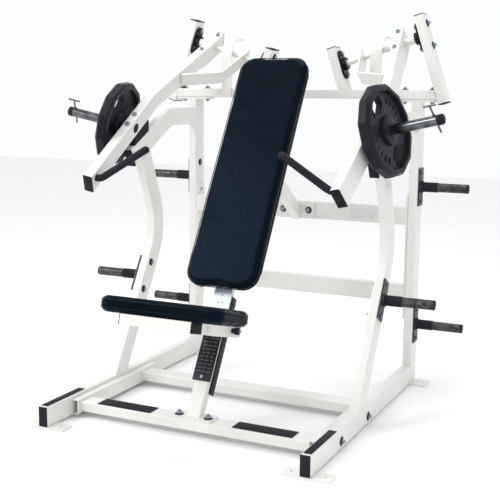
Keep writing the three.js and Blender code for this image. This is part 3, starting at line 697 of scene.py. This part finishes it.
def inflate(piece, voxel, cap_at, facing_out):
    """Swells the skin as cloth. The board holds the outline, so points move mostly out of the face."""
    remesh = piece.modifiers.new("remesh", "REMESH")
    remesh.mode = "VOXEL"
    remesh.voxel_size = voxel
    seen = piece.evaluated_get(bpy.context.evaluated_depsgraph_get())
    mesh = bpy.data.meshes.new_from_object(seen)
    piece.modifiers.clear()
    piece.data = mesh
    rest = [vert.co.copy() for vert in mesh.vertices]
    cloth = piece.modifiers.new("cloth", "CLOTH")
    cloth.settings.use_pressure = True
    cloth.settings.uniform_pressure_force = 4
    cloth.settings.effector_weights.gravity = 0
    cloth.point_cache.frame_start = 1
    cloth.point_cache.frame_end = SETTLING_FRAMES
    for number in range(1, SETTLING_FRAMES + 1):
        bpy.context.scene.frame_set(number)
    seen = piece.evaluated_get(bpy.context.evaluated_depsgraph_get())
    swollen = bpy.data.meshes.new_from_object(seen)
    piece.modifiers.clear()
    for vert, start, end in zip(mesh.vertices, rest, swollen.vertices):
        along = facing_out * facing_out.dot(end.co - start)
        move = along + (end.co - start - along) * HELD_BY_BOARD
        vert.co = start + move * min(1.0, cap_at / max(move.length, 1e-9))
    bpy.context.scene.frame_set(1)
    smooth = piece.modifiers.new("smooth skin", "SUBSURF")
    smooth.levels = 1
    smooth.render_levels = 1
    piece.data.shade_smooth()
    print(piece.name, "skin has", len(piece.data.polygons), "faces")


def pad(name, node, body, size, radius, space):
    bm = slab_mesh(size, radius, 0.018, space)
    piece = place_piece(bm, name, body, black_vinyl, None, [node])
    inflate(piece, SKIN_GRAIN, MOST_SWELL, space.to_3x3() @ Vector((0, 0, 1)))
    piece.data.materials.clear()
    piece.data.materials.append(black_vinyl)


back_space = post @ basis(Vector((0, -0.0523, 1.325)), Vector((0, -1, 0)), Vector((1, 0, 0)))
pad("back_cushion", "back_pad", "base", (0.398, 1.326, 0.058), 0.080, back_space)
seat_space = seat @ Matrix.Translation((0, 0.1254, 0.0375))
pad("seat_cushion", "seat_pad", "seat_carriage", (0.640, 0.344, 0.063), 0.060, seat_space)

# %% [markdown]
# ## Welts
# Where the face panel meets the side band, the vinyl is sewn over a cord. The welt is a thin round bead
# that follows the pad's outline. The outline is the pad's plan shape again, so the bead lies on its edge.

# %% Welts
def outline_points(half_x, half_y, radius, z, steps=10):
    points = []
    for cx, cy, start in ((1, 1, 0), (-1, 1, 90), (-1, -1, 180), (1, -1, 270)):
        for k in range(steps + 1):
            turn = math.radians(start + 90 * k / steps)
            points.append(Vector((cx * (half_x - radius) + radius * math.cos(turn),
                                  cy * (half_y - radius) + radius * math.sin(turn), z)))
    return points


def welt(name, body, space, half_x, half_y, radius, heights, bead=0.0022):
    bm = bmesh.new()
    for z in heights:
        points = outline_points(half_x, half_y, radius, z)
        rings = []
        for index, point in enumerate(points):
            ahead = points[(index + 1) % len(points)] - points[index - 1]
            place = Matrix.Translation(point) @ ahead.to_track_quat("Z", "Y").to_matrix().to_4x4()
            made = bmesh.ops.create_circle(bm, segments=8, radius=bead, matrix=place)
            rings.append(edges_at(made["verts"]))
        bridged(bm, rings + rings[:1])
    bmesh.ops.recalc_face_normals(bm, faces=bm.faces)
    piece = place_piece(bm, name, body, black_vinyl, space)


welt("back_welts", "base", back_space, 0.1965, 0.6605, 0.080, (0.015, -0.012))
welt("seat_welts", "seat_carriage", seat_space, 0.3180, 0.1700, 0.060, (0.018, -0.016))
print("welts done")

# %% [markdown]
# ## Floor and light
# The machine stands on a plain pale sheet. The white sky gives most of the light. A big lamp from the upper
# left makes the front faces lighter than the sides, a weak one from the right opens the shadows, and one
# above lights the tops.

# %% Floor and light
def floor():
    bm = bmesh.new()
    bmesh.ops.create_grid(bm, x_segments=1, y_segments=1, size=14)
    mesh = bpy.data.meshes.new("floor")
    bm.to_mesh(mesh)
    bm.free()
    mesh.materials.append(finish("floor", (0.90, 0.90, 0.90), (0.92, 0.92, 0.92), (0.8, 0.9), bump=0.0))
    piece = bpy.data.objects.new("floor", mesh)
    piece.location.z = -0.0005
    bpy.context.scene.collection.objects.link(piece)


def lamp(name, place, target, size, power):
    data = bpy.data.lights.new(name, "AREA")
    data.shape = "DISK"
    data.size = size
    data.energy = power
    light = bpy.data.objects.new(name, data)
    light.location = place
    light.rotation_euler = (Vector(target) - Vector(place)).to_track_quat("-Z", "Y").to_euler()
    bpy.context.scene.collection.objects.link(light)


floor()
lamp("key lamp", (-3.2, -3.4, 4.4), (0, 0, 0.9), 2.4, 125)
lamp("side lamp", (3.6, -4.6, 2.4), (0, 0, 1.0), 2.2, 18)
lamp("top lamp", (0.0, 0.6, 5.4), (0, 0, 1.0), 3.2, 70)
world = bpy.data.worlds.new("soft sky")
world.use_nodes = True
world.node_tree.nodes["Background"].inputs["Color"].default_value = (0.97, 0.985, 1.0, 1)
world.node_tree.nodes["Background"].inputs["Strength"].default_value = 1.0
bpy.context.scene.world = world
